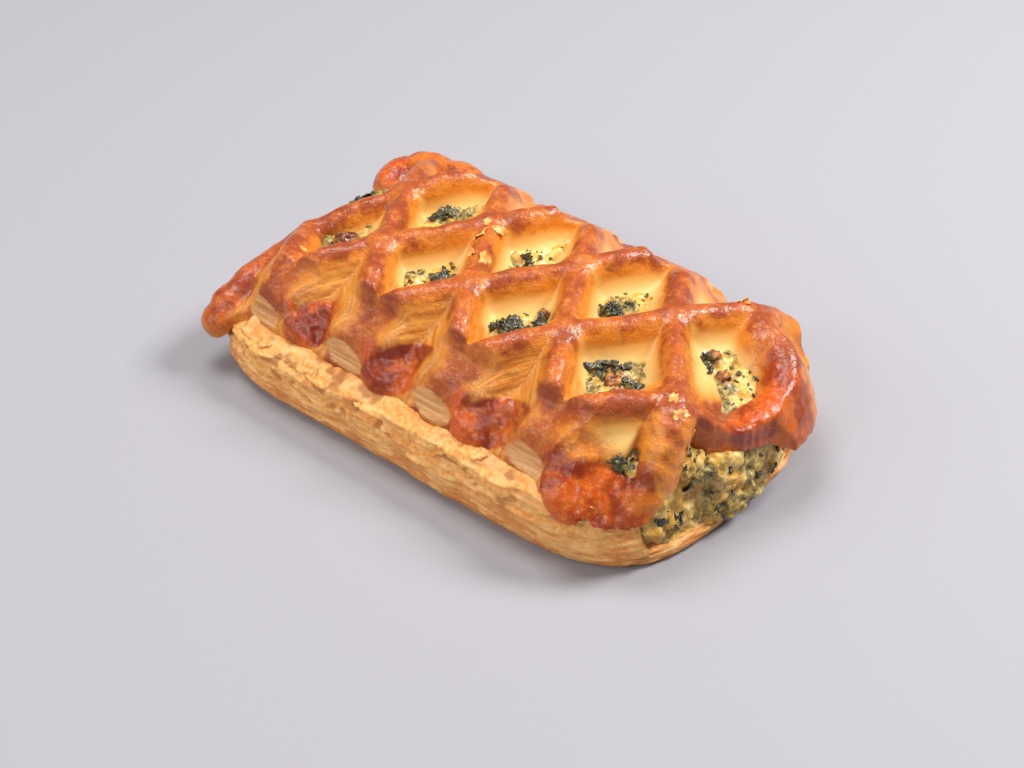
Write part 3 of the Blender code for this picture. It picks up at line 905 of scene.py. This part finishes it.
for spot, reach in DARKS:
    gap = np.sqrt(((points / MM - spot) ** 2).sum(axis=1))
    dark = np.maximum(dark, ramp(gap, reach, 0.35 * reach))
write_points(lattice, moved)
web *= ramp(depth, 1.5, 4.0) * (1.0 - lobe)
write_layers(lattice, height=height, pale=pale, dark=dark, cut=cut, web=web, along=along_line, depth=depth)
keep_faces(lattice, points[:, 2] > (on_grid(under, xm, ym) + 0.1) * MM)
finish_piece("lattice_crust", lattice, crust_material(), "lattice_top")


# %% [markdown]
# ## The bottom sheet
#
# The wall is what shows, so it is made as rings round the outline: up, over its top edge and in under
# the lattice. Puff pastry rises in leaves, so the wall stands in and out in bands that break and merge,
# and deeper pits follow the edge below the lattice.

# %% Rings up the wall and in over its top
tx, ty = np.roll(ox, -2) - np.roll(ox, 2), np.roll(oy, -2) - np.roll(oy, 2)
size = np.hypot(tx, ty)
nx, ny = ty / size, -tx / size
open_end = ramp(np.abs(ox), 52.0, 57.0) * ramp(np.abs(oy + np.where(ox > 0, 4.5, 0.0)), 25.0, 21.0)
side_part = (1.0 - open_end) * ramp(np.abs(oy), 26.0, 33.0)
wall_top = np.asarray(seat(ox * MM, oy * MM)) / MM - np.where(oy < 0, 1.4, 0.6)
wall_top = wall_top * (1.0 - open_end) + 3.6 * open_end
bulge = np.where(oy < 0, 2.0, 4.2) * side_part
UP, IN = 44, 26
rings = []
for level in range(UP + IN + 3):
    if level < 2:
        inset, z_mm = (6.0, 1.2)[level], np.zeros(AROUND)
    elif level < UP + 2:
        t = (level - 2) / (UP - 1.0)
        z_mm = wall_top * t
        inset = 0.9 * max(1.0 - 10.0 * t, 0.0) ** 2 - 0.7 * math.sin(math.pi * t**0.8)
    else:
        t = (level - UP - 1) / IN
        inset = 10.0 * t
        z_mm = wall_top + bulge * np.sin(0.5 * math.pi * np.minimum(inset / 5.5, 1.0)) - 0.4 * t
    x_mm, y_mm = ox - nx * inset, oy - ny * inset
    rings.append(np.column_stack([x_mm, y_mm, z_mm * np.ones(AROUND)]) * MM)
points = np.vstack(rings)
count = len(rings)
corner = np.arange(AROUND)
faces = []
for level in range(count - 1):
    a, b = level * AROUND + corner, level * AROUND + (corner + 1) % AROUND
    faces.append(np.column_stack([a, b, b + AROUND, a + AROUND]))
faces = np.vstack(faces)
sheet = bpy.data.meshes.new("side_crust")
sheet.from_pydata(points.tolist(), [], [*faces.tolist(), list(range(AROUND))[::-1]])
sheet.update()
print("bottom sheet rings:", count)

# %% [markdown]
# ## The bottom sheet: leaves and pits
#
# The rings are smooth so far. Noise drawn out along the wall and squeezed in height pushes them in and out
# as leaves, thick and thin ones at once, and the upper half gets pits where leaves broke off.

# %% Leaves and pits in the wall
points, normals = read_points(sheet)
wall_way = np.tile(np.column_stack([nx, ny, np.zeros(AROUND)]), (count, 1))
arc = np.tile(along, count) * MM
z = points[:, 2]
flat = np.column_stack([arc, z, np.zeros(len(arc))])
warp = 0.9 * MM * noise(flat, (14.0 * MM, 5.0 * MM, 1.0), 5)
leaves = noise(np.column_stack([arc, z + warp, 0 * arc]), (7.0 * MM, 1.15 * MM, 1.0), 6)
thin = noise(np.column_stack([arc, z + warp, 0 * arc]), (5.0 * MM, 0.42 * MM, 1.0), 7)
crumb = fractal(points, 2.6 * MM, 4, 8)
pits = ramp(fractal(flat, (3.4 * MM, 1.6 * MM, 1.0), 3, 12), 0.16, 0.42)
level_of = np.repeat(np.arange(count), AROUND)
on_wall = ramp(z / MM, 0.2, 1.2) * (level_of > 1)
over = ramp(level_of.astype(float), UP - 1.0, UP + 3.0)
upper = ramp(z / MM, 5.0, 9.0)
push = (0.45 + 0.5 * upper) * leaves + 0.26 * thin + 0.24 * crumb - 0.45 * pits * upper
push = push * on_wall * (1 - 0.5 * over) * MM
way = wall_way * (1 - over)[:, None] + normals * over[:, None]
write_points(sheet, points + way * push[:, None])
# painted shade in the pits, plus a darker band at the foot of the wall
hollow = np.maximum(pits * upper, ramp(z / MM, 2.4, 0.2)) * on_wall
write_layers(sheet, low=ramp(z / MM, 9.0, 4.0) * 0.9, hollow=hollow)
finish_piece("side_crust", sheet, side_material(), "base_sheet")

# %% [markdown]
# ## The filling
#
# Cooked egg, cheese and spinach set into a lumpy mass. Its top is a fine grid laid just under the lattice,
# lifted in soft lumps where an opening gives it room, and the grid turns down at both ends of the pastry
# to make the cut-off faces that show there.

# %% Shape the filling
FILL_LEFT, FILL_RIGHT, FILL_HALF = -59.0, 60.5, 29.0
NX, NY, END = 250, 118, 34
u = np.concatenate([np.full(END, -1.0), np.linspace(-1.0, 1.0, NX), np.full(END, 1.0)])
fall = np.linspace(0.0, 1.0, END + 1)[1:]
down = np.concatenate([fall[::-1], np.zeros(NX), fall])
v = np.linspace(-1.0, 1.0, NY)
U, V = np.meshgrid(u, v, indexing="ij")
D = np.repeat(down[:, None], NY, axis=1)
narrow = np.abs(U) ** 6
centre_y = -4.5 * narrow * (U > 0)
half = FILL_HALF - 5.6 * narrow - 0.8 * D
X = FILL_LEFT + (FILL_RIGHT - FILL_LEFT) * 0.5 * (U + 1.0)
Y = centre_y + V * half
X = X - narrow * np.sign(U) * (2.0 * (1.0 - D) + 5.0 * V**8) + narrow * (U < 0) * (3.0 * V * V - 0.5)
X = X + narrow * (U > 0) * (5.5 * ramp(Y, -21.0, -1.0) - 2.5 * ramp(Y, 8.0, 18.0) - 1.4)
Z = np.asarray(seat(X * MM, Y * MM)) / MM - 0.3
Z = Z - 6.0 * ramp(Y, -17.0, -22.0) * ramp(X, 34.0, 28.0) + 0.6 * ramp(Y, -18.0, -24.0) * ramp(X, 34.0, 38.0)
Z = Z - 5.0 * ramp(np.abs(Y), 24.8, 28.5)
Z = Z * (1.0 - D) + 3.2 * D
points = np.column_stack([X.ravel(), Y.ravel(), Z.ravel()]) * MM
rows, cols = U.shape
corners = cell_corners(np.arange(rows * cols).reshape(rows, cols))
quads = np.column_stack([corner.ravel() for corner in corners])
filling = bpy.data.meshes.new("filling_mass")
filling.from_pydata(points.tolist(), [], quads.tolist())
filling.update()
print("filling:", len(quads), "quads, up to", round(Z.max(), 1), "mm high")

# %% [markdown]
# ## The filling: lumps and toasted spots
#
# Curds swell only where they have room: in the openings and at both ends. The room at a point is how far the
# filling is above the lattice's top there. The highest spots toast, and some parts are green with spinach.

# %% Lumps, green and toasted spots
points, normals = read_points(filling)
x, y, z = points.T
room = ramp(z / MM - on_grid(np.where(solid, height_mm, 0.0), x / MM, y / MM), -1.2, 0.6)
at_end = (D.ravel() > 0).astype(float)
room = np.maximum(room, at_end)
lumps = fractal(points, 4.0 * MM, 4, 51, 0.6)
curds = np.abs(noise(points, 1.9 * MM, 61))
push = room * (2.0 * lumps + 0.7 - 0.9 * curds)
moved = points + normals * (push * MM)[:, None]
green = ramp(fractal(points, 5.5 * MM, 3, 71), 0.02, 0.3)
toast = np.zeros(len(points))
TOASTS = (
    (-41.0, -10.0, 4.2), (-42.5, -13.8, 3.0), (36.2, -10.0, 3.6), (12.4, -4.0, 2.6), (46.3, 10.5, 2.4),
    (50.8, 8.0, 2.2), (51.5, -21.8, 2.4), (-12.5, -1.5, 1.8), (31.0, -4.0, 2.2), (19.0, 6.0, 1.8),
)
for spot_x, spot_y, reach in TOASTS:
    gap = np.hypot(x / MM - spot_x, y / MM - spot_y)
    spot = ramp(gap, reach, 0.3 * reach) * (1.0 - at_end)
    moved[:, 2] += spot * 0.7 * MM
    toast = np.maximum(toast, spot * ramp(noise(points, 1.3 * MM, 81), -0.7, 0.1))
write_points(filling, moved)
end_tone = 0.45 * at_end * ramp(fractal(points, 6.0 * MM, 3, 95), 0.0, 0.3)
toasted = np.maximum(toast, end_tone * (1.0 - green))
write_layers(filling, green=green * (1.0 - toast), toast=toasted)
finish_piece("filling_mass", filling, filling_material(), "filling")


# %% [markdown]
# ## Spinach
#
# Wilted leaves are thin and crumpled, so each bit is a small sheet bent by noise: a square grid rounded
# to a disc, ragged at its rim, with a second face a little below and a strip that joins the two.

# %% One crumpled leaf
def crumpled(bm, centre, size, normal, seed, thickness=0.25, curl=1.0):
    """One small crumpled leaf, as a closed thin sheet, centred on a point and lying across its normal."""
    normal = normal / np.linalg.norm(normal)
    n = 9
    g = np.linspace(-1.0, 1.0, n)
    a, b = (grid.ravel() for grid in np.meshgrid(g, g, indexing="ij"))
    place = np.column_stack([a * 2.0 + seed * 3.1, b * 2.0, np.full(len(a), seed * 1.7)])
    ragged = 1.0 + 0.3 * noise(place, 0.9, 4)
    rim = np.maximum(np.abs(a), np.abs(b))
    circle = np.where(rim > 0, rim / np.maximum(np.hypot(a, b), 1e-9), 1.0)
    a, b = a * circle * ragged, b * circle * ragged
    bend = curl * (0.45 * noise(place, 1.2, 7) + 0.25 * noise(place, 0.6, 9))
    turn = seed * 2.399
    ca, sa = math.cos(turn), math.sin(turn)
    wide = size * (0.55 + 0.4 * math.sin(seed * 1.3) ** 2)
    local = np.column_stack([a * size * ca - b * wide * sa, a * size * sa + b * wide * ca, bend * size])
    axis = Vector(normal).to_track_quat("Z", "Y").to_matrix()
    local = local @ np.array(axis).T
    up = normal * thickness * 0.5
    both = [bm.verts.new((centre + p + s * up) * MM) for s in (1, -1) for p in local]
    for i in range(n - 1):
        for j in range(n - 1):
            a0, a1, a2, a3 = i * n + j, (i + 1) * n + j, (i + 1) * n + j + 1, i * n + j + 1
            bm.faces.new([both[k] for k in (a0, a1, a2, a3)])
            bm.faces.new([both[n * n + k] for k in (a3, a2, a1, a0)])
    edge = [i * n for i in range(n)] + [(n - 1) * n + j for j in range(1, n)]
    edge += [i * n + n - 1 for i in range(n - 2, -1, -1)] + [j for j in range(n - 2, 0, -1)]
    for p, q in zip(edge, edge[1:] + edge[:1]):
        bm.faces.new([both[q], both[p], both[n * n + p], both[n * n + q]])


seeds = itertools.count()


def scatter(bm, spots, ways, tilt, sizes, lift=0.0, thickness=0.25, curl=1.0):
    """Lays a crumpled leaf on each spot, in millimetres, tilted a little from its way up."""
    for spot, way in zip(spots, ways):
        way = way + rng.normal(0.0, tilt, 3)
        crumpled(bm, spot + way * lift, rng.uniform(*sizes), way, next(seeds), thickness, curl)


# %% [markdown]
# ## Spinach: where it lies
#
# Leaves lie in clumps where an opening shows them, thickly in the two that are darkest. More are pressed
# into both end faces, and a few hundred scraps are spread over the curds.

# %% Spinach in clumps, on the ends and as scraps
surface, facing = read_points(filling)
surface = (surface - SHIFT) / MM
CLUMPS = (
    (47.0, -24.6, 2.6, 26), (9.8, -11.5, 3.4, 24), (13.5, -7.5, 2.4, 10), (5.5, -2.5, 1.6, 6),
    (-13.5, -8.6, 2.8, 14), (-11.0, -4.0, 2.0, 8), (45.7, 8.0, 2.2, 14), (50.3, -0.6, 2.6, 18),
    (31.5, -8.6, 2.2, 8), (40.0, -9.0, 2.0, 7), (35.0, -5.0, 2.2, 5), (-39.8, -14.8, 1.8, 6),
    (-31.0, 10.6, 2.4, 7), (-3.4, 10.0, 1.8, 4), (21.6, 8.0, 2.4, 14), (24.0, -18.6, 2.2, 9),
    (-2.0, -18.8, 2.2, 8), (-54.0, -22.0, 1.8, 6), (-60.0, 14.0, 2.5, 8),
)


def nearest_top(px, py):
    """Index of the filling's point under a place, leaving out the end faces."""
    return np.argmin(np.hypot(surface[:, 0] - px, surface[:, 1] - py) + 99 * at_end)


bits = bmesh.new()
for cx, cy, spread, number in CLUMPS:
    for _ in range(number):
        pick = nearest_top(*((cx, cy) + rng.normal(0.0, 0.45 * spread, 2)))
        scatter(bits, [surface[pick]], [facing[pick]], 0.35, (0.9, 2.0), 0.3)
ends = np.flatnonzero((D.ravel() > 0.08) & (D.ravel() < 0.92) & (np.abs(V.ravel()) < 0.9))
picks = rng.choice(ends, 40, replace=False)
scatter(bits, surface[picks], facing[picks], 0.3, (0.6, 2.2))
picks = rng.choice(np.flatnonzero((room > 0.7) & (at_end < 1)), 260, replace=False)
scatter(bits, surface[picks], facing[picks], 0.4, (0.25, 0.8), thickness=0.15)
finish_piece("spinach", to_mesh("spinach", bits), spinach_material())

# %% [markdown]
# ## Toasted lumps
#
# A few lumps of cheese stand up into the heat and brown, so they get a skin of their own: balls that sit in
# the filling, flattened and pushed about by noise.

# %% Toasted lumps
LUMPS = (
    (-40.6, -9.6, 3.3), (-43.0, -13.6, 2.2), (35.9, -9.8, 2.5), (38.2, -11.6, 1.4), (12.4, -3.6, 1.7),
    (46.1, 10.6, 1.7), (50.8, 8.2, 1.2), (51.4, -21.6, 1.4), (-12.0, -1.6, 1.0),
)
browned = bmesh.new()
for lx, ly, radius in LUMPS:
    sunk, flat = (0.3, 0.62) if radius > 3 else (-0.15, 0.45)
    lz = surface[nearest_top(lx, ly), 2] + sunk * radius
    add_ball(browned, (lx, ly, lz), (radius, 0.8 * radius, flat * radius), (math.cos(lx), math.sin(lx), 0))
lumps_mesh = to_mesh("toasted_lumps", browned)
points, normals = read_points(lumps_mesh)
points += normals * (1.3 * fractal(points, 1.7 * MM, 3, 91) * MM)[:, None]
write_points(lumps_mesh, points)
finish_piece("toasted_lumps", lumps_mesh, toasted_material())

# %% [markdown]
# ## Torn flakes
#
# Where the lattice was pulled apart, thin layers tore off and stand up as small flakes. More line the upper
# edge of the side. They are the same crumpled sheet as the leaves, larger and flatter.

# %% Torn flakes
TORN = (
    (-12.5, 6.7, 4), (-7.4, -2.0, 3), (-43.6, -21.2, 2), (56.0, -13.6, 3), (52.5, -13.6, 5), (3.0, 34.0, 2),
    (44.0, 26.0, 3),
)
flakes = bmesh.new()
surface, facing = read_points(lattice)
surface = (surface - SHIFT) / MM
for fx, fy, number in TORN:
    picks = rng.choice(np.flatnonzero(np.hypot(surface[:, 0] - fx, surface[:, 1] - fy) < 2.6), number)
    scatter(flakes, surface[picks], facing[picks], 0.14, (1.1, 2.2), 0.0, 0.12, 0.35)
surface, facing = read_points(sheet)
surface = (surface - SHIFT) / MM
picks = rng.choice(np.flatnonzero((surface[:, 2] > 12.5) & (surface[:, 2] < 15.5)), 30)
scatter(flakes, surface[picks], facing[picks] + (0.0, 0.0, 0.6), 0.12, (1.2, 2.6), 0.0, 0.12, 0.35)
finish_piece("torn_flakes", to_mesh("torn_flakes", flakes), flake_material())

# %% [markdown]
# ## Floor and light
#
# A plain pale floor and large soft lights: one high at the back right, one broad overhead, and a weak one
# at the front left. A small one in front stands for a window and puts the glints on the browned lobes.

# %% Stage
bpy.ops.mesh.primitive_plane_add(size=4.0, location=(0.0, 0.0, -0.0002))
floor_plane = bpy.context.object
floor_plane.name = "floor"
plain = bpy.data.materials.new("floor")
plain.use_nodes = True
preset(plain.node_tree.nodes["Principled BSDF"], Base_Color=(0.345, 0.335, 0.36, 1.0), Roughness=0.7)
floor_plane.data.materials.append(plain)

LIGHTS = (
    ("back_right", (0.32, 0.44, 0.60), 0.30, 7.2),
    ("overhead", (-0.25, 0.05, 0.80), 0.42, 4.6),
    ("front_left", (-0.38, -0.66, 0.48), 0.60, 2.3),
    ("window", (0.04, -0.60, 0.50), 0.10, 0.9),
)
for name, place, size, power in LIGHTS:
    light = bpy.data.lights.new(name, "AREA")
    light.shape = "DISK"
    light.size = size
    light.energy = power
    holder = add_object(name, light)
    holder.location = place
    holder.rotation_euler = Vector(place).to_track_quat("Z", "Y").to_euler()
world = bpy.data.worlds.new("studio")
world.use_nodes = True
preset(world.node_tree.nodes["Background"], Color=(1.0, 0.98, 0.97, 1.0), Strength=0.26)
bpy.context.scene.world = world
bpy.context.scene.view_settings.view_transform = "Standard"
print("lights:", len(LIGHTS))
